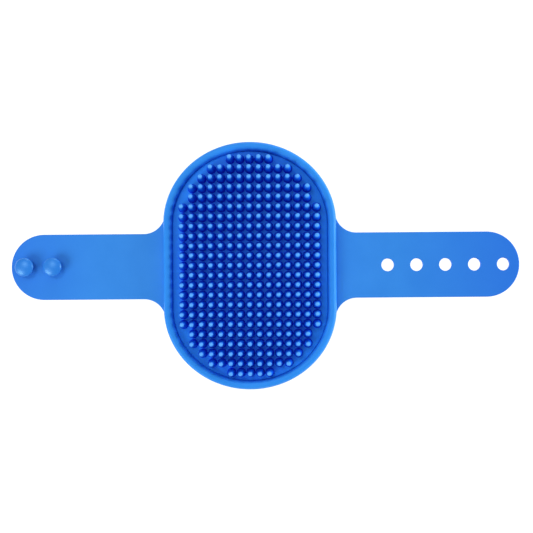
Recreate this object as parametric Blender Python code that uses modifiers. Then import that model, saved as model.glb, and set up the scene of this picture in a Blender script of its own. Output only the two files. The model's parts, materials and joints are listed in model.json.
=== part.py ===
"""Rubber curry brush with a wrap-round strap.

An oval pad carries a raised rim and rows of tapered nubs. A strap grows out of each long side:
the left one ends in two mushroom studs, the right one has a line of five button holes. Both bend
towards the palm face (-Z), meet behind the hand and button together.

Frame: the brush lies on its palm face (z = 0) with the nubs up (+Z). X runs along the straps,
studs at -X and holes at +X, and Y along the pad's longer side. Units are metres.
"""

import math

import bmesh
import bpy
from mathutils import Matrix, Vector

MM = 0.001

# Pad
PAD_WIDTH = 88.0 * MM
PAD_LENGTH = 126.0 * MM
PAD_END_DEPTH = 41.5 * MM  # how far each half-ellipse end reaches past the straight sides
SHEET_THICKNESS = 2.4 * MM  # the pad's web and both straps
RIM_WIDTH = 4.3 * MM
RIM_TOP = 7.2 * MM
RIM_ROUNDING = 1.4 * MM

# Nubs
NUB_PITCH = 4.86 * MM  # from nub to nub along a row
ROW_PITCH = 4.94 * MM
NUBS_IN_ROW = [15, 15, 15, 15, 15, 15, 15, 13, 13, 11, 9, 5]  # from the middle row outwards
NUB_BASE_RADIUS = 2.05 * MM
NUB_TIP_RADIUS = 1.1 * MM
NUB_TOP = 12.0 * MM
NUB_SIDES = 8
RUNNER_WIDTH = 4.4 * MM  # the strip of floor that ties one row of nubs together
RUNNER_HEIGHT = 0.6 * MM

# Straps, measured outwards from the middle of the pad
STRAP_HALF_WIDTH = 16.75 * MM
FLARE_RADIUS = 11.0 * MM  # the concave corner where a strap runs into the pad
FLARE_START = 43.5 * MM
STUD_STRAP_REACH = 122.2 * MM
HOLE_STRAP_REACH = 137.8 * MM
STUD_STRAP_BENDS = [45.5 * MM, 51.5 * MM, 57.5 * MM, 64.0 * MM, 78.0 * MM, 93.4 * MM]
HOLE_STRAP_BENDS = [45.5 * MM, 51.5 * MM, 57.5 * MM, 64.0 * MM, 77.8 * MM, 92.6 * MM, 107.4 * MM]

# Fastening
FIRST_HOLE = 70.4 * MM
HOLE_PITCH = 14.8 * MM
HOLE_COUNT = 5
HOLE_RADIUS = 3.25 * MM
STUD_PLACES = {"inner_stud": 100.1 * MM, "outer_stud": 114.3 * MM}
NECK_RADIUS = 2.7 * MM
HEAD_RADIUS = 4.7 * MM
HEAD_HEIGHT = 2.4 * MM
HEAD_RIM = 0.6 * MM  # height of the head's straight edge

GAP = 0.3 * MM  # between neighbouring solids
OUTLINE_STEPS = 24  # segments in each half-ellipse, and in each quarter turn of a strap's edge
RUNNER_END_STEPS = 6
ROUND_SIDES = 24
DOME_STEPS = 8
ROUNDING_STEPS = 1
LEAST_STEP = 0.05 * MM  # a point nearer than this to the end of a stretch of outline is left out
CREASE_ANGLE = math.radians(35)  # edges sharper than this stay crisp

PAD_HALF_WIDTH = PAD_WIDTH / 2
PAD_STRAIGHT_HALF = PAD_LENGTH / 2 - PAD_END_DEPTH
LAYER_TWO = SHEET_THICKNESS + GAP  # where everything that stands on the sheet begins
NECK_TOP = 2 * SHEET_THICKNESS + 3 * GAP  # leaves room for the other strap under the head


def clear_scene():
    for old in list(bpy.data.objects):
        bpy.data.objects.remove(old, do_unlink=True)


def collection(name):
    made = bpy.data.collections.new(name)
    bpy.context.scene.collection.children.link(made)
    return made


def rubber(name, colour, roughness):
    material = bpy.data.materials.new(name)
    material.use_nodes = True
    shader = material.node_tree.nodes["Principled BSDF"]
    shader.inputs["Base Color"].default_value = (*colour, 1.0)
    shader.inputs["Roughness"].default_value = roughness
    shader.inputs["Metallic"].default_value = 0.0
    return material


def add_mesh(name, mesh, into, material=None):
    made = bpy.data.objects.new(name, mesh)
    into.objects.link(made)
    if material is not None:
        mesh.materials.clear()
        mesh.materials.append(material)
    return made


def pad_outline(inset=0.0):
    """The pad's outline, anticlockwise: straight long sides closed by two half-ellipses."""
    half_width = PAD_HALF_WIDTH - inset
    end_depth = PAD_END_DEPTH - inset
    points = []
    for end in (1, -1):
        for step in range(OUTLINE_STEPS + 1):
            angle = math.pi * step / OUTLINE_STEPS
            x = end * half_width * math.cos(angle)
            y = end * (PAD_STRAIGHT_HALF + end_depth * math.sin(angle))
            points.append((x, y))
    return points


def strap_half_width(u, reach):
    """Half the width of a strap that ends at reach, at distance u from the pad's middle."""
    flare_end = FLARE_START + FLARE_RADIUS
    tip_centre = reach - STRAP_HALF_WIDTH
    if u < flare_end:
        inward = min(flare_end - u, FLARE_RADIUS)
        return STRAP_HALF_WIDTH + FLARE_RADIUS - math.sqrt(FLARE_RADIUS**2 - inward**2)
    if u > tip_centre:
        return math.sqrt(max(0.0, STRAP_HALF_WIDTH**2 - (u - tip_centre) ** 2))
    return STRAP_HALF_WIDTH


def strap_stations(start, end, reach):
    """Distances from start to end at which the outline gets a point: close together on curves."""
    flare_end = FLARE_START + FLARE_RADIUS
    tip_centre = reach - STRAP_HALF_WIDTH
    curved = []
    for step in range(OUTLINE_STEPS + 1):
        turn = math.pi / 2 * step / OUTLINE_STEPS
        curved.append(flare_end - FLARE_RADIUS * math.cos(turn))
        curved.append(tip_centre + STRAP_HALF_WIDTH * math.sin(turn))
    inside = [u for u in curved if start + LEAST_STEP < u < end - LEAST_STEP]
    return [start, *sorted(inside), end]


def strap_outline(side, start, end, reach):
    """Outline of one stretch of strap. side is -1 for the left strap and 1 for the right."""
    stations = strap_stations(start, end, reach)
    edge = [(side * u, strap_half_width(u, reach)) for u in stations]
    mirrored = [(x, -y) for x, y in reversed(edge) if y > 0]
    return edge + mirrored


def flat_solid(name, outlines, bottom, top, into, rounding=0.0):
    """A flat piece between two heights: the first outline is its edge, any others are holes."""
    curve = bpy.data.curves.new(name, "CURVE")
    curve.dimensions = "2D"
    curve.fill_mode = "BOTH"
    curve.extrude = (top - bottom) / 2 - rounding
    curve.bevel_depth = rounding
    curve.bevel_resolution = ROUNDING_STEPS
    curve.offset = -rounding
    for outline in outlines:
        spline = curve.splines.new("POLY")
        spline.points.add(len(outline) - 1)
        for point, (x, y) in zip(spline.points, outline):
            point.co = (x, y, 0.0, 1.0)
        spline.use_cyclic_u = True
    source = bpy.data.objects.new(name + "_outline", curve)
    bpy.context.scene.collection.objects.link(source)
    source.location.z = (top + bottom) / 2
    bpy.context.view_layer.update()
    depsgraph = bpy.context.evaluated_depsgraph_get()
    mesh = bpy.data.meshes.new_from_object(source.evaluated_get(depsgraph))
    mesh.name = name
    mesh.transform(source.matrix_world)
    bpy.data.objects.remove(source, do_unlink=True)
    shape = bmesh.new()
    shape.from_mesh(mesh)
    bmesh.ops.remove_doubles(shape, verts=shape.verts, dist=0.001 * MM)
    bmesh.ops.recalc_face_normals(shape, faces=shape.faces)
    shape.to_mesh(mesh)
    shape.free()
    return add_mesh(name, mesh, into)


def boolean(target, operation, tool):
    modifier = target.modifiers.new(operation.lower(), "BOOLEAN")
    modifier.operation = operation
    modifier.object = tool
    tool.hide_render = True
    tool.display_type = "WIRE"


def finish(piece, material):
    """Gives a piece its material and smooth shading with crisp edges."""
    piece.data.materials.clear()
    piece.data.materials.append(material)
    piece.data.shade_smooth()
    piece.data.set_sharp_from_angle(angle=CREASE_ANGLE)


def make_web(parts, cutters, material):
    """The pad's sheet, with a short flange on each side that the straps bend from."""
    web = flat_solid("pad_web", [pad_outline()], 0.0, SHEET_THICKNESS, parts)
    for side, name, bends in ((-1, "left", STUD_STRAP_BENDS), (1, "right", HOLE_STRAP_BENDS)):
        start = FLARE_START - FLARE_RADIUS
        end = bends[0] - GAP / 2
        outline = strap_outline(side, start, end, HOLE_STRAP_REACH)
        flange = flat_solid(f"{name}_flange", [outline], 0.0, SHEET_THICKNESS, cutters)
        boolean(web, "UNION", flange)
    finish(web, material)


def make_rim(parts, material):
    outlines = [pad_outline(), pad_outline(RIM_WIDTH)]
    rim = flat_solid("rim_bead", outlines, LAYER_TWO, RIM_TOP, parts, RIM_ROUNDING)
    finish(rim, material)


def runner_outline(y, half_length):
    """A strip with half-round ends, centred on the Y axis at y."""
    radius = RUNNER_WIDTH / 2
    points = []
    for end in (1, -1):
        for step in range(RUNNER_END_STEPS + 1):
            angle = math.pi * step / RUNNER_END_STEPS - math.pi / 2
            x = end * (half_length + radius * math.cos(angle))
            points.append((x, y + end * radius * math.sin(angle)))
    return points


def make_nub_row(number, y, count, parts, cutters, material):
    """One row of tapered nubs standing on the strip of floor that ties them together."""
    half_length = (count - 1) / 2 * NUB_PITCH
    name = f"nub_row_{number:02d}"
    outline = runner_outline(y, half_length)
    row = flat_solid(name, [outline], LAYER_TWO, LAYER_TWO + RUNNER_HEIGHT, parts)

    cones = bmesh.new()
    foot = LAYER_TWO + RUNNER_HEIGHT / 2
    for place in range(count):
        bmesh.ops.create_cone(
            cones,
            cap_ends=True,
            segments=NUB_SIDES,
            radius1=NUB_BASE_RADIUS,
            radius2=NUB_TIP_RADIUS,
            depth=NUB_TOP - foot,
            matrix=Matrix.Translation((place * NUB_PITCH - half_length, y, (NUB_TOP + foot) / 2)),
        )
    mesh = bpy.data.meshes.new(name + "_cones")
    cones.to_mesh(mesh)
    cones.free()
    boolean(row, "UNION", add_mesh(name + "_cones", mesh, cutters))
    finish(row, material)


def make_nubs(parts, cutters, material):
    """Nubs on a nearly square grid, in rows numbered from +Y to -Y."""
    furthest = len(NUBS_IN_ROW) - 1
    for number, place in enumerate(range(furthest, -furthest - 1, -1), start=1):
        count = NUBS_IN_ROW[abs(place)]
        make_nub_row(number, place * ROW_PITCH, count, parts, cutters, material)


def hang(piece, joint):
    """Puts a piece's origin on its joint and parents it there, without moving it."""
    pivot = joint.matrix_world.translation
    piece.data.transform(Matrix.Translation(-pivot))
    piece.parent = joint


def make_strap(side, name, bends, reach, parts, material):
    """A chain of strap links, each bending from the one before it about a line on the palm face.

    Returns each link with the stretch of strap that it covers.
    """
    links = []
    parent = None
    for number, start in enumerate(bends, start=1):
        last = number == len(bends)
        end = reach if last else bends[number] - GAP / 2
        outline = strap_outline(side, start + GAP / 2, end, reach)
        piece_name = f"{name}_strap_end" if last else f"{name}_strap_link_{number}"
        link = flat_solid(piece_name, [outline], 0.0, SHEET_THICKNESS, parts)

        joint = bpy.data.objects.new(f"{name}_bend_{number}", None)
        joint.empty_display_size = SHEET_THICKNESS
        parts.objects.link(joint)
        joint.parent = parent
        inner = 0.0 if parent is None else bends[number - 2]
        joint.location = Vector((side * (start - inner), 0.0, 0.0))
        bpy.context.view_layer.update()

        hang(link, joint)
        finish(link, material)
        links.append((link, start, end))
        parent = joint
    return links


def cut_holes(links, cutters):
    """Cuts the button holes into whichever link of the right strap covers each of them."""
    for number in range(HOLE_COUNT):
        u = FIRST_HOLE + number * HOLE_PITCH
        drill = bmesh.new()
        bmesh.ops.create_cone(
            drill,
            cap_ends=True,
            segments=ROUND_SIDES,
            radius1=HOLE_RADIUS,
            radius2=HOLE_RADIUS,
            depth=2 * SHEET_THICKNESS,
            matrix=Matrix.Translation((u, 0.0, SHEET_THICKNESS / 2)),
        )
        mesh = bpy.data.meshes.new(f"hole_{number + 1}")
        drill.to_mesh(mesh)
        drill.free()
        cutter = add_mesh(f"hole_{number + 1}", mesh, cutters)
        for link, start, end in links:
            if start < u < end:
                boolean(link, "DIFFERENCE", cutter)


def stud_profile():
    """Half of a mushroom stud, from the top of its dome down its outer side to its base."""
    dome_base = NECK_TOP + HEAD_RIM
    dome_height = HEAD_HEIGHT - HEAD_RIM
    points = []
    for step in range(DOME_STEPS + 1):
        angle = math.pi / 2 * step / DOME_STEPS
        points.append((HEAD_RADIUS * math.sin(angle), dome_base + dome_height * math.cos(angle)))
    points.append((HEAD_RADIUS - HEAD_RIM, NECK_TOP))
    points.append((NECK_RADIUS, NECK_TOP))
    points.append((NECK_RADIUS, LAYER_TWO))
    points.append((0.0, LAYER_TWO))
    return points


def make_studs(link, parts, material):
    profile = stud_profile()
    for name, u in STUD_PLACES.items():
        mesh = bpy.data.meshes.new(name)
        edges = [(i, i + 1) for i in range(len(profile) - 1)]
        mesh.from_pydata([(r, 0.0, z) for r, z in profile], edges, [])
        stud = add_mesh(name, mesh, parts, material)
        screw = stud.modifiers.new("turned", "SCREW")
        screw.steps = ROUND_SIDES
        screw.render_steps = ROUND_SIDES
        screw.use_merge_vertices = True
        screw.merge_threshold = 0.001 * MM
        screw.use_smooth_shade = True
        stud.parent = link.parent
        pivot = link.parent.matrix_world.translation
        stud.location = Vector((-u, 0.0, 0.0)) - pivot


def main():
    clear_scene()
    parts = collection("rubber_curry_brush")
    cutters = collection("cutters")
    web_blue = rubber("web_rubber", (0.01, 0.22, 0.82), 0.42)
    rim_blue = rubber("rim_rubber", (0.015, 0.26, 0.82), 0.36)
    nub_blue = rubber("nub_rubber", (0.01, 0.12, 0.72), 0.4)
    strap_blue = rubber("strap_rubber", (0.025, 0.23, 0.72), 0.46)
    stud_blue = rubber("stud_rubber", (0.025, 0.25, 0.76), 0.34)

    make_web(parts, cutters, web_blue)
    make_rim(parts, rim_blue)
    make_nubs(parts, cutters, nub_blue)
    left = make_strap(-1, "left", STUD_STRAP_BENDS, STUD_STRAP_REACH, parts, strap_blue)
    right = make_strap(1, "right", HOLE_STRAP_BENDS, HOLE_STRAP_REACH, parts, strap_blue)
    cut_holes(right, cutters)
    make_studs(left[-1][0], parts, stud_blue)
    cutters.hide_render = True


main()
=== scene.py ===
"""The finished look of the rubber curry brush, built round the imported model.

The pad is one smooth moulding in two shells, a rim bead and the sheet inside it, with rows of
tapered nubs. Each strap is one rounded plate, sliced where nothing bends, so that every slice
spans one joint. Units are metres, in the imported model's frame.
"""

import json
import math

import bmesh
import bpy
import numpy as np
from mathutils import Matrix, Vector

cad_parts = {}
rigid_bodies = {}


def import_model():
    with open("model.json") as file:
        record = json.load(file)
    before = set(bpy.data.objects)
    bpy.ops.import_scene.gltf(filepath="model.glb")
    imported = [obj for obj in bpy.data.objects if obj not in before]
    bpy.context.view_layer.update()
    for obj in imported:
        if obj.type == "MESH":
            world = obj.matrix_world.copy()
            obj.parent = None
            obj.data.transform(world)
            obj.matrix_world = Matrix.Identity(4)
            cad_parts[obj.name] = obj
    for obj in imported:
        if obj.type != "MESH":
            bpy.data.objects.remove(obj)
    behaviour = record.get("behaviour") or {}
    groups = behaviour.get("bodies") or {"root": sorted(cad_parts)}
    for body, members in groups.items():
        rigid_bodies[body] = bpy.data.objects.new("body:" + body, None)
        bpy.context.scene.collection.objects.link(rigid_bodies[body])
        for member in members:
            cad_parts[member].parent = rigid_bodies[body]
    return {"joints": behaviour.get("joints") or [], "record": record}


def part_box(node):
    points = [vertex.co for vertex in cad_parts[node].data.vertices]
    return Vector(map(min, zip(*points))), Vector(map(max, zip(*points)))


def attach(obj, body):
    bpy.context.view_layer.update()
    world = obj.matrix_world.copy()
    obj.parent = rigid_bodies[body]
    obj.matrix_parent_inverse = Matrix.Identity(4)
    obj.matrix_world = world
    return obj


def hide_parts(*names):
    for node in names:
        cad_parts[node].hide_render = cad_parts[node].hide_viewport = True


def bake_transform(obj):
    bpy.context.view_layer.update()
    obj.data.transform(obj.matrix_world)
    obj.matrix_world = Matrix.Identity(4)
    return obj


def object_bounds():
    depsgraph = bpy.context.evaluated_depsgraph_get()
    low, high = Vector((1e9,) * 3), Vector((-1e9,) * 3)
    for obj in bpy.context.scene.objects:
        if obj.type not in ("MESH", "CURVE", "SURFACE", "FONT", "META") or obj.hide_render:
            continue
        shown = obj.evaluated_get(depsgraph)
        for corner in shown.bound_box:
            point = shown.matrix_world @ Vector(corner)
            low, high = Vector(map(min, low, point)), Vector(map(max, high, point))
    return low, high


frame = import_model()
CAD_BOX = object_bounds()

MM = 0.001
BURIED = 0.3 * MM  # how far one shell reaches into the next, where nothing shows
ON_PLANE = 1e-7  # a point this near to a cutting plane counts as lying on it
TURNED_SEGMENTS = 64
CRISP_ANGLE = 50  # degrees; edges of turned shapes that are sharper than this stay crisp

# The pad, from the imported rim
RIM_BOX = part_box("rim_bead")
HALF_WIDTH = RIM_BOX[1].x
HALF_LENGTH = RIM_BOX[1].y
RIM_TOP = RIM_BOX[1].z
END_DEPTH = 41.5 * MM
STRAIGHT_HALF = HALF_LENGTH - END_DEPTH
OUTLINE_STEPS = 96
RIM_WIDTH = 4.3 * MM
RIM_CREST = 1.9 * MM  # how far in from the edge the bead is highest
RIM_SHOULDER = 4.2 * MM  # height at which the outer wall starts to round over
RIM_UNDER_EDGE = 0.35 * MM  # radius of the outer edge on the palm side
RIM_SQUARENESS = 0.62  # 1 makes the bead's inner side a quarter ellipse, less makes it squarer
INNER_STEPS = 16
INNER_FOOT = 0.3 * MM  # how far above the floor the bead's inner side turns straight down
GROOVE_WIDTH = 0.7 * MM
GROOVE_DEPTH = 0.7 * MM
FLOOR_TOP = 3.1 * MM
HAIRLINE = 0.02 * MM  # keeps the sheet's lowest ring off the rim's

# Nubs
ROW_COUNT = 23
NUB_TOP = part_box("nub_row_12")[1].z
NUB_PITCH = 4.86 * MM
NUB_BASE_RADIUS = 2.15 * MM
NUB_TIP_RADIUS = 1.12 * MM
NUB_TIP_FLATNESS = 0.9  # the round tip's height over its radius
NUB_FOOT_FILLET = 0.25 * MM
NUB_BURIED = 0.4 * MM  # how far a nub reaches down into the sheet
NUB_SEGMENTS = 28
SHANK_STEPS = 5
NUB_LEAN = 0.006  # how far a nub leans from upright, as a slope
NUB_TIP_PAINTED_LIGHT_DEPTH = 2.5 * MM  # how far down from the top a nub is painted lighter, as painted light
NUB_SEED = 11

# Straps
STRAP_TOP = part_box("left_strap_link_3")[1].z
STRAP_HALF_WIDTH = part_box("left_strap_link_3")[1].y
FLARE_RADIUS = 11.0 * MM
FLARE_START = 43.5 * MM
FLARE_SHORT = 0.4 * MM  # the concave corner's arc begins this far out from FLARE_START
FLARE_STEPS = 24
STRAP_ROOT = 42.6 * MM
EDGE_ROUNDING = 0.5 * MM
EDGE_STEPS = 5
SLICE = 0.7 * MM
HOLE_RADIUS = 3.25 * MM
HOLE_EDGE_RADIUS = 0.4 * MM
CUTTER_MARGIN = 0.3 * MM
SEAM_PAST_HOLE = 4.2 * MM  # from a hole's middle to a seam that would otherwise cut it

# Studs
STUD_NECK_RADIUS = 2.7 * MM
STUD_HEAD_RADIUS = 4.7 * MM
STUD_EDGE_RADIUS = 0.6 * MM
STUD_FOOT_FILLET = 0.7 * MM
STUD_HEAD_FILLET = 0.3 * MM  # where the neck meets the underside of the head
STUD_UNDERSIDE = 2 * STRAP_TOP + 0.9 * MM
DOME_STEPS = 18

# Rubber, with colours as linear red, green and blue
RIM_COLOURS = ((0.022, 0.245, 0.82), (0.030, 0.270, 0.86))
# Painted shade: the sheet's colours among the nubs are darker, for the shade the nubs cast on
# the floor
SHEET_PAINTED_SHADE_COLOURS = ((0.018, 0.200, 0.94), (0.022, 0.220, 0.97))
OPEN_FLOOR_COLOUR = (0.020, 0.255, 0.88)
STRAP_COLOURS = ((0.032, 0.230, 0.74), (0.038, 0.252, 0.78))
# Painted shade: the colour a strap darkens to at its tip, where less light falls
STRAP_TIP_PAINTED_SHADE = (0.024, 0.176, 0.73)
STUD_COLOURS = ((0.010, 0.175, 0.68), (0.014, 0.195, 0.72))
# Painted shade: the darker colour of the neck, in the shade under the head
STUD_NECK_PAINTED_SHADE = (0.0, 0.07, 0.58)
# Painted shade and light: a nub goes from a dark foot, in the shade between the nubs, through
# the shank colour to a light tip
NUB_FOOT_PAINTED_SHADE = (0.0, 0.010, 0.66)
NUB_SHANK_COLOUR = (0.004, 0.145, 0.77)
NUB_TIP_PAINTED_LIGHT = (0.113, 0.430, 0.98)
SHEEN_TINT = (0.4, 0.8, 1.0)  # the rubber's skin lets light in, so its sheen is bluish
CLOUD_SIZE = 18 * MM  # faint differences in the rubber's colour
CLOUD_RANGE = (0.3, 0.7)  # where the noise is at its darker and at its lighter colour
SMEAR_SIZE = 7 * MM  # differences in its gloss
SMEAR_RANGE = (0.25, 0.75)
SMOOTHER, ROUGHER = 0.05, 0.07  # how far a rubber's roughness strays down and up
SWELL_SIZE = 6 * MM
SWELL_DEPTH = 0.15 * MM
SWELL_STRENGTH = 0.35
GRAIN_SIZE = 0.45 * MM
GRAIN_DEPTH = 0.05 * MM
NUB_FIELD = (36.5 * MM, 58.0 * MM)  # half width and half length of the ellipse the nubs fill
NUB_FIELD_SHADE_FADE = (0.93, 1.08)  # in shares of that ellipse, where the painted shade among the nubs gives way to the open floor's colour
STRAP_SHADE_FADE = (75 * MM, 135 * MM)  # distances from the middle over which painted shade darkens a strap
NUB_PAINTED_LIGHT_CURVE = 2.4  # more keeps the painted light nearer to the tip
NECK_SHADE_FADE = 0.6 * MM  # height above the head's underside over which the neck's painted shade gives way to the head's colour

# Studio
FLOOR_SIZE = 8.0  # metres
FLOOR_HEIGHT = -40 * MM  # low enough that the closed loop of straps clears it
FLOOR_GREY = 0.3
FLOOR_GLOW = 0.9
SKY_STRENGTH = 0.45
LAMPS = (  # name, place, diameter in metres and power in watts
    ("overhead", (-0.3, 0.35, 1.05), 0.4, 2.35),
    ("key_left", (-0.54, -0.36, 0.46), 0.45, 3.15),
    ("fill_far", (0.0, 0.8, 0.16), 0.4, 1.2),
    ("side_right", (0.9, 0.1, 0.16), 0.4, 6.6),
)
EYE_PLACE = (21.0 * MM, -15.0 * MM)  # what the camera stands over
EYE_DISTANCE = 0.38  # metres above the straps
VIEW_MIDDLE = (8.2 * MM, -0.5 * MM)  # what the middle of the view shows
VIEW_WIDTH = 272.7 * MM  # at the height of the straps
VIEW_TURN = -0.43  # degrees
SENSOR_WIDTH = 36.0  # millimetres


def new_object(name, mesh):
    made = bpy.data.objects.new(name, mesh)
    bpy.context.scene.collection.objects.link(made)
    return made


def smooth(obj, angle=40):
    obj.data.shade_smooth()
    obj.data.set_sharp_from_angle(angle=math.radians(angle))


def keep_rest_places(obj):
    """Stores each point's place at rest, so that patterns stay put when the mesh bends."""
    mesh = obj.data
    places = np.array([v.co for v in mesh.vertices], np.float32)
    stored = mesh.attributes.new("rest", "FLOAT_VECTOR", "POINT")
    stored.data.foreach_set("vector", places.ravel())


def apply_modifiers(obj):
    depsgraph = bpy.context.evaluated_depsgraph_get()
    mesh = bpy.data.meshes.new_from_object(obj.evaluated_get(depsgraph), depsgraph=depsgraph)
    obj.modifiers.clear()
    obj.data = mesh


def loft(name, rings, closed=False):
    """A skin over rings of equal length. An open loft is capped at both ends."""
    count = len(rings[0])
    points = [p for ring in rings for p in ring]
    faces = []
    pairs = len(rings) if closed else len(rings) - 1
    for i in range(pairs):
        a = i * count
        b = (i + 1) % len(rings) * count
        for j in range(count):
            k = (j + 1) % count
            faces.append((a + j, a + k, b + k, b + j))
    if not closed:
        faces.append(tuple(reversed(range(count))))
        faces.append(tuple(range(len(points) - count, len(points))))
    mesh = bpy.data.meshes.new(name)
    mesh.from_pydata(points, [], faces)
    made = new_object(name, mesh)
    recalculate_normals(made)
    return made


def recalculate_normals(obj):
    shape = bmesh.new()
    shape.from_mesh(obj.data)
    bmesh.ops.recalc_face_normals(shape, faces=shape.faces)
    shape.to_mesh(obj.data)
    shape.free()


def arc(centre, radii, start, end, steps):
    """Points on an ellipse in the profile plane, angles in degrees."""
    points = []
    for i in range(steps + 1):
        angle = math.radians(start + (end - start) * i / steps)
        x = centre[0] + radii[0] * math.cos(angle)
        points.append((x, centre[1] + radii[1] * math.sin(angle)))
    return points


# ---------------------------------------------------------------- materials


class Nodes:
    """A material's node tree, with short ways to add to it."""

    def __init__(self, name):
        self.material = bpy.data.materials.new(name)
        self.material.use_nodes = True
        self.tree = self.material.node_tree
        self.shader = self.tree.nodes["Principled BSDF"]
        place = self.add("ShaderNodeAttribute", attribute_name="rest")
        self.place = place.outputs["Vector"]

    def add(self, kind, **settings):
        node = self.tree.nodes.new(kind)
        for key, value in settings.items():
            setattr(node, key, value)
        return node

    def link(self, source, target):
        self.tree.links.new(source, target)

    def noise(self, size, detail, roughness=0.5):
        """Noise whose lumps are about size metres across."""
        node = self.add("ShaderNodeTexNoise")
        self.link(self.place, node.inputs["Vector"])
        node.inputs["Scale"].default_value = 1 / size
        node.inputs["Detail"].default_value = detail
        node.inputs["Roughness"].default_value = roughness
        return node.outputs["Fac"]

    def spread(self, source, low, high, start, end):
        """Low where the source is at start, high where it is at end."""
        node = self.add("ShaderNodeMapRange")
        self.link(source, node.inputs["Value"])
        node.inputs["From Min"].default_value = start
        node.inputs["From Max"].default_value = end
        node.inputs["To Min"].default_value = low
        node.inputs["To Max"].default_value = high
        return node.outputs["Result"]

    def mix(self, share, first, second):
        """Colour first where share is 0 and second where it is 1."""
        node = self.add("ShaderNodeMix", data_type="RGBA")
        self.link(share, node.inputs[0])
        for value, socket in ((first, node.inputs[6]), (second, node.inputs[7])):
            if isinstance(value, tuple):
                socket.default_value = (*value, 1.0)
            else:
                self.link(value, socket)
        return node.outputs[2]

    def bump(self, height, strength, distance, under=None):
        """A normal bent by height, on top of the bump under it."""
        node = self.add("ShaderNodeBump")
        node.inputs["Strength"].default_value = strength
        node.inputs["Distance"].default_value = distance
        self.link(height, node.inputs["Height"])
        if under is not None:
            self.link(under, node.inputs["Normal"])
        return node.outputs["Normal"]

    def math(self, operation, source, value=0.0):
        node = self.add("ShaderNodeMath", operation=operation)
        self.link(source, node.inputs[0])
        node.inputs[1].default_value = value
        return node.outputs["Value"]

    def along(self, axis):
        """The place at rest along one axis, in metres."""
        split = self.add("ShaderNodeSeparateXYZ")
        self.link(self.place, split.inputs["Vector"])
        return split.outputs[axis]

    def outwards(self, half_width, half_length):
        """0 in the middle of the pad and 1 on an ellipse of this size."""
        scaled = self.add("ShaderNodeVectorMath", operation="MULTIPLY")
        self.link(self.place, scaled.inputs[0])
        scaled.inputs[1].default_value = (1 / half_width, 1 / half_length, 0.0)
        length = self.add("ShaderNodeVectorMath", operation="LENGTH")
        self.link(scaled.outputs["Vector"], length.inputs[0])
        return length.outputs["Value"]

    def recolour(self, share, colour):
        """Turns the shader's colour into this one as share goes from 0 to 1."""
        base = self.shader.inputs["Base Color"]
        self.link(self.mix(share, base.links[0].from_socket, colour), base)


def rubber(name, dark, light, roughness=0.42, shine=0.25, grain=0.25):
    """Satin moulded rubber: cloudy colour, fine moulded grain and uneven sheen."""
    nodes = Nodes(name)
    cloud = nodes.noise(CLOUD_SIZE, detail=3.0)
    colour = nodes.mix(nodes.spread(cloud, 0.0, 1.0, *CLOUD_RANGE), dark, light)
    nodes.link(colour, nodes.shader.inputs["Base Color"])
    smear = nodes.noise(SMEAR_SIZE, detail=4.0, roughness=0.6)
    uneven = nodes.spread(smear, roughness - SMOOTHER, roughness + ROUGHER, *SMEAR_RANGE)
    nodes.link(uneven, nodes.shader.inputs["Roughness"])
    swell = nodes.bump(nodes.noise(SWELL_SIZE, detail=1.0), SWELL_STRENGTH, SWELL_DEPTH)
    fine = nodes.bump(nodes.noise(GRAIN_SIZE, detail=2.0), grain, GRAIN_DEPTH, swell)
    nodes.link(fine, nodes.shader.inputs["Normal"])
    nodes.shader.inputs["Specular IOR Level"].default_value = shine
    nodes.shader.inputs["Specular Tint"].default_value = (*SHEEN_TINT, 1.0)
    return nodes


def rim_rubber():
    return rubber("rim_blue", *RIM_COLOURS).material


def sheet_rubber():
    """Rubber with painted shade: darker and deeper blue among the nubs, where they shade the
    floor, and lighter on the open floor round them.
    """
    nodes = rubber("sheet_blue", *SHEET_PAINTED_SHADE_COLOURS, roughness=0.46)
    outwards = nodes.outwards(*NUB_FIELD)
    # Painted shade: the nub field keeps the darker sheet colours, and the open floor round it
    # turns lighter
    nodes.recolour(nodes.spread(outwards, 0.0, 1.0, *NUB_FIELD_SHADE_FADE), OPEN_FLOOR_COLOUR)
    return nodes.material


def strap_rubber():
    """Rubber painted darker towards the straps' tips, as painted shade for light that falls off
    towards the tips.
    """
    nodes = rubber("strap_blue", *STRAP_COLOURS, roughness=0.46)
    reach = nodes.math("ABSOLUTE", nodes.along("X"))
    # Painted shade, darker towards each tip
    nodes.recolour(nodes.spread(reach, 0.0, 1.0, *STRAP_SHADE_FADE), STRAP_TIP_PAINTED_SHADE)
    return nodes.material


def nub_rubber():
    """Rubber painted dark at a nub's foot, as painted shade between the nubs, and light at its
    thin tip, as painted light.
    """
    nodes = rubber("nub_blue", NUB_FOOT_PAINTED_SHADE, NUB_FOOT_PAINTED_SHADE, shine=0.2, grain=0.12)
    height = nodes.along("Z")
    painted_light_start = NUB_TOP - NUB_TIP_PAINTED_LIGHT_DEPTH
    # Painted shade at the foot, fading into the shank colour
    nodes.recolour(nodes.spread(height, 0.0, 1.0, FLOOR_TOP, painted_light_start), NUB_SHANK_COLOUR)
    # Painted light, lightest at the tip
    painted_light = nodes.spread(height, 0.0, 1.0, painted_light_start, NUB_TOP)
    nodes.recolour(nodes.math("POWER", painted_light, NUB_PAINTED_LIGHT_CURVE), NUB_TIP_PAINTED_LIGHT)
    return nodes.material


def stud_rubber():
    """Rubber painted darker on the stud's neck and under its head, as painted shade beneath the
    head.
    """
    nodes = rubber("stud_blue", *STUD_COLOURS, roughness=0.34, shine=1.1)
    height = nodes.along("Z")
    # Painted shade on the neck and under the head
    under = nodes.spread(height, 1.0, 0.0, STUD_UNDERSIDE, STUD_UNDERSIDE + NECK_SHADE_FADE)
    nodes.recolour(under, STUD_NECK_PAINTED_SHADE)
    return nodes.material


# ---------------------------------------------------------------- pad


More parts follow.
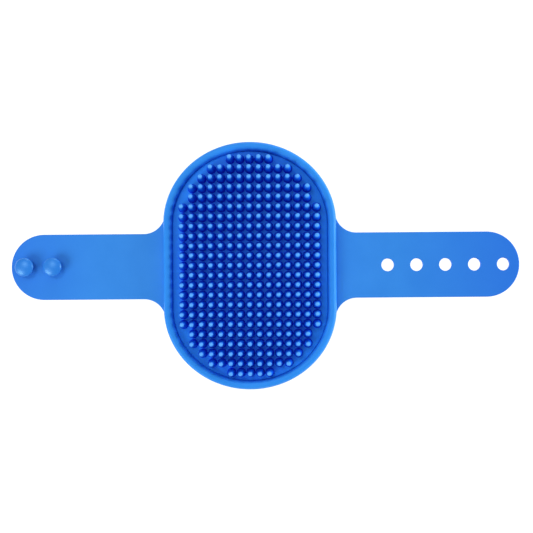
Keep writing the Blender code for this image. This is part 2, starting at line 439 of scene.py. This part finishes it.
def pad_outline(inset, z):
    """The pad's outline at one height: straight sides and half-ellipse ends."""
    ring = []
    for end in (1, -1):
        for step in range(OUTLINE_STEPS + 1):
            angle = math.pi * step / OUTLINE_STEPS
            x = end * (HALF_WIDTH - inset) * math.cos(angle)
            y = end * (STRAIGHT_HALF + (END_DEPTH - inset) * math.sin(angle))
            ring.append((x, y, z))
    return ring


def rim_profile():
    """Round the bead's section, as distance in from the edge and height."""
    low = RIM_UNDER_EDGE
    section = arc((low, low), (low, low), 270, 180, 4)
    outer_rise = RIM_TOP - RIM_SHOULDER
    section += arc((RIM_CREST, RIM_SHOULDER), (RIM_CREST, outer_rise), 180, 90, 12)
    inner_foot = FLOOR_TOP + INNER_FOOT
    for step in range(1, INNER_STEPS + 1):
        angle = math.pi / 2 * step / INNER_STEPS
        across = (RIM_WIDTH - RIM_CREST) * math.sin(angle) ** RIM_SQUARENESS
        up = (RIM_TOP - inner_foot) * math.cos(angle) ** RIM_SQUARENESS
        section.append((RIM_CREST + across, inner_foot + up))
    section.append((RIM_WIDTH, FLOOR_TOP - GROOVE_DEPTH))
    section.append((RIM_WIDTH, 0.0))
    return section


def make_rim(material):
    rim = loft("rim", [pad_outline(inset, z) for inset, z in rim_profile()], closed=True)
    smooth(rim)
    finish_piece(rim, material, "pad", "rim_bead")


def make_sheet(material):
    """The sheet inside the rim, its top edge rounded down into the groove."""
    low = FLOOR_TOP - GROOVE_DEPTH
    centre = (RIM_WIDTH + GROOVE_WIDTH, low)
    hidden = RIM_WIDTH - BURIED
    section = [(RIM_WIDTH + HAIRLINE, 0.0), (hidden, BURIED), (hidden, low)]
    section += arc(centre, (GROOVE_WIDTH, GROOVE_DEPTH), 180, 90, 8)
    rings = [pad_outline(inset, z) for inset, z in section]
    sheet = loft("pad_sheet", rings)
    smooth(sheet)
    weigh_normals(sheet)
    finish_piece(sheet, material, "pad", "pad_web")


def weigh_normals(obj):
    """Keeps big flat faces looking flat beside their rounded edges."""
    weighted = obj.modifiers.new("flat_faces", "WEIGHTED_NORMAL")
    weighted.keep_sharp = True


def finish_piece(obj, material, body, node):
    keep_rest_places(obj)
    obj.data.materials.append(material)
    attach(obj, body)
    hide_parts(node)


# ---------------------------------------------------------------- nubs


def nub_profile():
    """Radius and height of one nub, from its buried foot to the middle of its tip."""
    foot = FLOOR_TOP
    fillet = NUB_FOOT_FILLET
    profile = [(NUB_BASE_RADIUS + fillet, foot - NUB_BURIED)]
    outside = (NUB_BASE_RADIUS + fillet, foot + fillet)
    profile += arc(outside, (fillet, fillet), 270, 190, 4)
    tip_height = NUB_TIP_RADIUS * NUB_TIP_FLATNESS
    tip_centre = NUB_TOP - tip_height
    shank_radius, shank_start = profile[-2]  # the shank's line leaves the fillet here
    for step in range(1, SHANK_STEPS):
        share = step / SHANK_STEPS
        radius = shank_radius + (NUB_TIP_RADIUS - shank_radius) * share
        profile.append((radius, shank_start + (tip_centre - shank_start) * share))
    return profile + arc((0.0, tip_centre), (NUB_TIP_RADIUS, tip_height), 6, 88, 7)


def lathe_points(profile, segments):
    """Points and faces of a turned shape, closed at both ends."""
    points = []
    faces = []
    for radius, z in profile:
        for j in range(segments):
            angle = 2 * math.pi * j / segments
            points.append((radius * math.cos(angle), radius * math.sin(angle), z))
    for i in range(len(profile) - 1):
        for j in range(segments):
            k = (j + 1) % segments
            a = i * segments
            faces.append((a + j, a + k, a + segments + k, a + segments + j))
    faces.append(tuple(reversed(range(segments))))
    faces.append(tuple(range(len(points) - segments, len(points))))
    return np.array(points), faces


def make_nubs(material):
    rng = np.random.default_rng(NUB_SEED)
    shape, faces = lathe_points(nub_profile(), NUB_SEGMENTS)
    for number in range(1, ROW_COUNT + 1):
        node = f"nub_row_{number:02d}"
        low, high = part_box(node)
        y = (low.y + high.y) / 2
        count = round((high.x - low.x) / NUB_PITCH)
        points = []
        all_faces = []
        for place in range(count):
            x = (place - (count - 1) / 2) * NUB_PITCH
            lean = rng.normal(0.0, NUB_LEAN, 2)
            nub = shape.copy()
            above = np.maximum(nub[:, 2] - FLOOR_TOP, 0.0)
            nub[:, 0] += x + above * lean[0]
            nub[:, 1] += y + above * lean[1]
            start = len(points)
            points.extend(map(tuple, nub))
            all_faces.extend(tuple(start + i for i in face) for face in faces)
        mesh = bpy.data.meshes.new(node)
        mesh.from_pydata(points, [], all_faces)
        row = new_object(f"nubs_{number:02d}", mesh)
        smooth(row, CRISP_ANGLE)
        finish_piece(row, material, "pad", node)


# ---------------------------------------------------------------- straps


def strap_outline(side, reach, inset, z):
    """A strap's outline from its buried root out round its tip, drawn smaller by inset."""
    flare_end = FLARE_START + FLARE_RADIUS
    flare_radius = FLARE_RADIUS + inset
    flare_centre = STRAP_HALF_WIDTH + FLARE_RADIUS
    tip_centre = reach - STRAP_HALF_WIDTH
    tip_radius = STRAP_HALF_WIDTH - inset
    root = STRAP_ROOT + inset
    upper = []
    widest = math.acos((FLARE_RADIUS - FLARE_SHORT) / flare_radius)
    for i in range(FLARE_STEPS + 1):
        angle = widest + (math.pi / 2 - widest) * i / FLARE_STEPS
        u = flare_end - flare_radius * math.cos(angle)
        upper.append((u, flare_centre - flare_radius * math.sin(angle)))
    upper.insert(0, (root, upper[0][1]))
    tip = arc((tip_centre, 0.0), (tip_radius, tip_radius), 90, -90, 2 * FLARE_STEPS)
    lower = [(u, -v) for u, v in reversed(upper)]
    return [(side * u, v, z) for u, v in upper + tip + lower]


def strap_plate(name, side, reach):
    """The whole strap as one closed plate with rounded edges, thinner where the rim hides it."""
    r = EDGE_ROUNDING
    section = arc((r, r), (r, r), 270, 180, EDGE_STEPS)
    section += arc((r, STRAP_TOP - r), (r, r), 180, 90, EDGE_STEPS)
    rings = [strap_outline(side, reach, inset, z) for inset, z in section]
    plate = loft(name, rings)
    middle = STRAP_TOP / 2
    for vertex in plate.data.vertices:
        if abs(vertex.co.x) < HALF_WIDTH - BURIED:
            vertex.co.z = middle + (vertex.co.z - middle) * (1 - BURIED / middle)
    return plate


def spool_cutter(x):
    """A cutter whose waist is the hole and whose flared ends round the hole's edges."""
    r = HOLE_EDGE_RADIUS
    widest = HOLE_RADIUS + r
    profile = [(widest, -CUTTER_MARGIN), (widest, 0.0)]
    profile += arc((widest, r), (r, r), 270, 180, EDGE_STEPS)[1:]
    profile += arc((widest, STRAP_TOP - r), (r, r), 180, 90, EDGE_STEPS)
    profile.append((widest, STRAP_TOP + CUTTER_MARGIN))
    points, faces = lathe_points(profile, TURNED_SEGMENTS)
    mesh = bpy.data.meshes.new("hole_cutter")
    mesh.from_pydata([tuple(p) for p in points], [], faces)
    cutter = new_object("hole_cutter", mesh)
    cutter.location.x = x
    recalculate_normals(cutter)
    return cutter


def hole_places():
    """How far from the pad's middle each button hole in the record is."""
    places = []
    for opening in frame["record"]["physics"]["openings"]:
        low, high = opening["box_m"]
        places.append((low[0] + high[0]) / 2)
    return places


def cut_holes(plate, places):
    """Cuts a round-edged hole at each place."""
    for place in places:
        cutter = spool_cutter(place)
        cut = plate.modifiers.new("hole", "BOOLEAN")
        cut.operation = "DIFFERENCE"
        cut.object = cutter
        bpy.context.view_layer.update()
        apply_modifiers(plate)
        bpy.data.objects.remove(cutter, do_unlink=True)


def slice_across(plate, side, start, end):
    """Adds lines across the plate, so that it can bend smoothly."""
    shape = bmesh.new()
    shape.from_mesh(plate.data)
    count = round((end - start) / SLICE)
    for i in range(count + 1):
        u = start + (end - start) * i / count
        geometry = shape.verts[:] + shape.edges[:] + shape.faces[:]
        bmesh.ops.bisect_plane(
            shape, geom=geometry, dist=ON_PLANE, plane_co=(side * u, 0, 0), plane_no=(1, 0, 0)
        )
    shape.to_mesh(plate.data)
    shape.free()


def cut_piece(plate, name, side, start, end):
    """The part of the plate between two distances from the pad's middle, as a closed solid."""
    shape = bmesh.new()
    shape.from_mesh(plate.data)
    for u, outward in ((start, -side), (end, side)):
        if u is None:
            continue
        geometry = shape.verts[:] + shape.edges[:] + shape.faces[:]
        found = bmesh.ops.bisect_plane(
            shape,
            geom=geometry,
            dist=ON_PLANE,
            plane_co=(side * u, 0, 0),
            plane_no=(outward, 0, 0),
            clear_outer=True,
        )
        cut_edges = [e for e in found["geom_cut"] if isinstance(e, bmesh.types.BMEdge)]
        bmesh.ops.contextual_create(shape, geom=cut_edges)
    bmesh.ops.recalc_face_normals(shape, faces=shape.faces)
    mesh = bpy.data.meshes.new(name)
    shape.to_mesh(mesh)
    shape.free()
    return new_object(name, mesh)


def strap_joints(side_name):
    """Each joint along a strap: distance from the pad's middle, parent body and child body."""
    found = []
    for joint in frame["joints"]:
        if joint["name"].startswith(side_name):
            found.append((abs(joint["pos_m"][0]), joint["parent"], joint["child"]))
    return sorted(found)


def strap_seams(joints, holes):
    """Seams midway between neighbouring joints, or just past a hole that one would cut."""
    seams = []
    for inner, outer in zip(joints, joints[1:]):
        seam = (inner[0] + outer[0]) / 2
        for hole in holes:
            if abs(seam - hole) < SEAM_PAST_HOLE:
                seam = hole + SEAM_PAST_HOLE
        seams.append(seam)
    return seams


def make_strap(side, side_name, reach, holes, material):
    """One strap: a plate sliced at seams that lie between its joints, a slice to each joint."""
    plate = strap_plate(f"{side_name}_plate", side, reach)
    cut_holes(plate, holes)
    slice_across(plate, side, HALF_WIDTH, reach - STRAP_HALF_WIDTH / 2)
    joints = strap_joints(side_name)
    limits = [None, *strap_seams(joints, holes), None]
    for number, (pivot, parent, child) in enumerate(joints, start=1):
        start, end = limits[number - 1], limits[number]
        last = number == len(joints)
        name = f"{side_name}_strap_end" if last else f"{side_name}_strap_link_{number}"
        piece = cut_piece(plate, f"{side_name}_strap_{number}", side, start, end)
        smooth(piece)
        weigh_normals(piece)
        keep_rest_places(piece)
        piece.data.materials.append(material)
        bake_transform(piece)
        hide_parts(name)
    bpy.data.objects.remove(plate, do_unlink=True)


# ---------------------------------------------------------------- studs


def stud_profile(top):
    """Radius and height of a mushroom stud: flared foot, neck, round-edged head, low dome."""
    foot = STUD_FOOT_FILLET
    corner = STUD_HEAD_FILLET
    under = STUD_UNDERSIDE
    profile = [(STUD_NECK_RADIUS + foot, STRAP_TOP - BURIED)]
    profile += arc((STUD_NECK_RADIUS + foot, STRAP_TOP + foot), (foot, foot), 270, 180, 5)
    profile += arc((STUD_NECK_RADIUS + corner, under - corner), (corner, corner), 180, 90, 3)
    edge = STUD_EDGE_RADIUS
    profile += arc((STUD_HEAD_RADIUS - edge, under + edge), (edge, edge), 270, 350, 5)
    dome = (STUD_HEAD_RADIUS, top - under - edge)
    profile += arc((0.0, under + edge), dome, 2, 89.5, DOME_STEPS)
    return profile


def make_studs(material):
    for name in ("inner_stud", "outer_stud"):
        low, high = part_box(name)
        points, faces = lathe_points(stud_profile(high.z), TURNED_SEGMENTS)
        points[:, 0] += (low.x + high.x) / 2
        mesh = bpy.data.meshes.new(name)
        mesh.from_pydata([tuple(p) for p in points], [], faces)
        stud = new_object(name + "_button", mesh)
        smooth(stud, CRISP_ANGLE)
        finish_piece(stud, material, "left_end", name)


# ---------------------------------------------------------------- studio


def make_floor():
    bpy.ops.mesh.primitive_plane_add(size=FLOOR_SIZE, location=(0, 0, FLOOR_HEIGHT))
    floor = bpy.context.object
    floor.name = "studio_floor"
    material = bpy.data.materials.new("pale_floor")
    material.use_nodes = True
    shader = material.node_tree.nodes["Principled BSDF"]
    shader.inputs["Base Color"].default_value = (FLOOR_GREY, FLOOR_GREY, FLOOR_GREY, 1.0)
    shader.inputs["Roughness"].default_value = 0.9
    shader.inputs["Specular IOR Level"].default_value = 0.1
    shader.inputs["Emission Color"].default_value = (1.0, 1.0, 1.0, 1.0)
    shader.inputs["Emission Strength"].default_value = FLOOR_GLOW
    floor.data.materials.append(material)


def round_lamp(name, place, size, power):
    """A soft lamp that shines on the middle of the pad."""
    data = bpy.data.lights.new(name, "AREA")
    data.shape = "DISK"
    data.size = size
    data.energy = power
    lamp = bpy.data.objects.new(name, data)
    bpy.context.scene.collection.objects.link(lamp)
    lamp.location = place
    lamp.rotation_euler = (-Vector(place)).to_track_quat("-Z", "Y").to_euler()


def make_lights():
    world = bpy.data.worlds.new("studio")
    world.use_nodes = True
    sky = world.node_tree.nodes["Background"]
    sky.inputs["Color"].default_value = (1.0, 1.0, 1.0, 1.0)
    sky.inputs["Strength"].default_value = SKY_STRENGTH
    bpy.context.scene.world = world
    for name, place, size, power in LAMPS:
        round_lamp(name, place, size, power)


def make_camera():
    """Looking straight down. The shift frames the brush and leaves the eye where it is."""
    data = bpy.data.cameras.new("camera")
    data.sensor_width = SENSOR_WIDTH
    data.lens = SENSOR_WIDTH * EYE_DISTANCE / VIEW_WIDTH
    data.shift_x = (VIEW_MIDDLE[0] - EYE_PLACE[0]) / VIEW_WIDTH
    data.shift_y = (VIEW_MIDDLE[1] - EYE_PLACE[1]) / VIEW_WIDTH
    camera = bpy.data.objects.new("camera", data)
    bpy.context.scene.collection.objects.link(camera)
    camera.location = (*EYE_PLACE, EYE_DISTANCE + STRAP_TOP)
    camera.rotation_euler = (0.0, 0.0, math.radians(VIEW_TURN))
    bpy.context.scene.camera = camera


def main():
    bpy.context.scene.view_settings.view_transform = "Standard"
    make_rim(rim_rubber())
    make_sheet(sheet_rubber())
    make_nubs(nub_rubber())
    strap_blue = strap_rubber()
    make_strap(-1, "left", -CAD_BOX[0].x, [], strap_blue)
    make_strap(1, "right", CAD_BOX[1].x, hole_places(), strap_blue)
    make_studs(stud_rubber())
    make_floor()
    make_lights()
    make_camera()


main()
